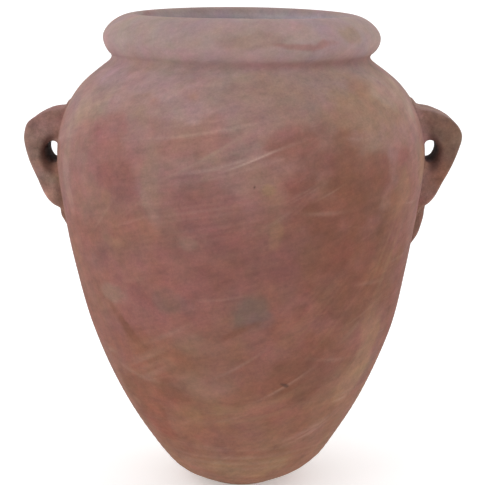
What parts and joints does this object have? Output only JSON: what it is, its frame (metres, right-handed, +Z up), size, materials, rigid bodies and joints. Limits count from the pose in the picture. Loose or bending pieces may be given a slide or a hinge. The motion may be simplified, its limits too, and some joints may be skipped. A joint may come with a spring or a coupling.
{
  "type": "amphora",
  "caption": "Large two-handled terracotta storage jar with a fat rolled rim, high shoulder, small flat foot and pierced strap handles, for standing in a garden or room.",
  "frame": {"origin": "centre of the flat underside of the foot, on the ground", "axes": "+Z up along the jar's axis, handles on +X and -X, +Y to the jar's back"},
  "size_m": [0.676, 0.575, 0.75],
  "materials": {
    "wall_clay": "matt unglazed terracotta, rose brown under a thin grey-beige bloom",
    "rim_clay": "matt unglazed terracotta under a paler grey-mauve bloom",
    "handle_clay": "matt unglazed terracotta, darker brown, hand smeared",
    "foot_clay": "matt unglazed terracotta, bare browner clay"
  },
  "bodies": {
    "root": {"base_slab": "foot_clay", "foot_ring": "wall_clay", "lower_wall_ring": "wall_clay", "belly_ring": "wall_clay", "shoulder_ring": "wall_clay", "neck_ring": "wall_clay", "rim_roll": "rim_clay", "right_handle": "handle_clay", "left_handle": "handle_clay", "right_heel_wad": "handle_clay", "left_heel_wad": "handle_clay"}
  },
  "joints": []
}
